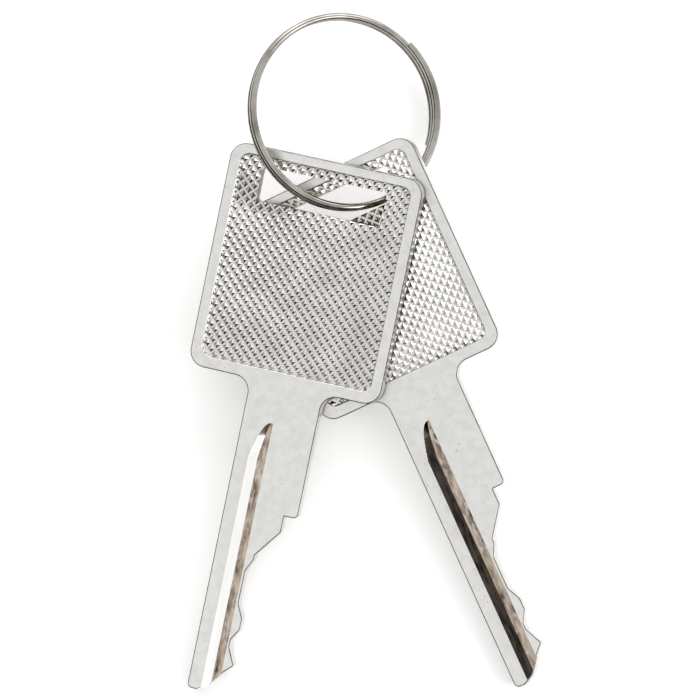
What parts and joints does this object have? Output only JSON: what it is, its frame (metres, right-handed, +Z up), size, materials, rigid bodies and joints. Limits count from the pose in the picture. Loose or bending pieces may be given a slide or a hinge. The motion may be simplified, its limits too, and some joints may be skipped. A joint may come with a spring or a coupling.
{
  "type": "key set",
  "caption": "Flat cylinder-lock keys with square knurled heads, threaded by their slots on a small round-wire split ring and free to fan out round it.",
  "frame": {"origin": "centre of the whole object's box, on the surface that it lies on", "axes": "+Z up, +Y from the blades' tips towards the ring, +X towards the side of the back key's tip"},
  "size_m": [0.043, 0.081, 0.0131],
  "materials": {
    "back_key_nickel": "worn satin nickel plate, knurled head",
    "front_key_nickel": "worn satin nickel plate, knurled head",
    "ring_nickel": "bright nickel plate on round spring wire"
  },
  "bodies": {
    "back_key": {"back_key": "back_key_nickel"},
    "front_key": {"front_key": "front_key_nickel"},
    "split_ring": {"split_ring": "ring_nickel"}
  },
  "joints": [
    {"name": "ring_spin", "type": "hinge", "parent": "back_key", "child": "split_ring", "pos_m": [-0.00164, 0.02854, 0.00698], "axis": [0.4616, 0.0262, 0.8867], "continuous": true},
    {"name": "key_fan", "type": "hinge", "parent": "back_key", "child": "front_key", "pos_m": [-0.00164, 0.02854, 0.00698], "axis": [0.4616, 0.0262, 0.8867], "range_deg": [-285, 0]}
  ]
}
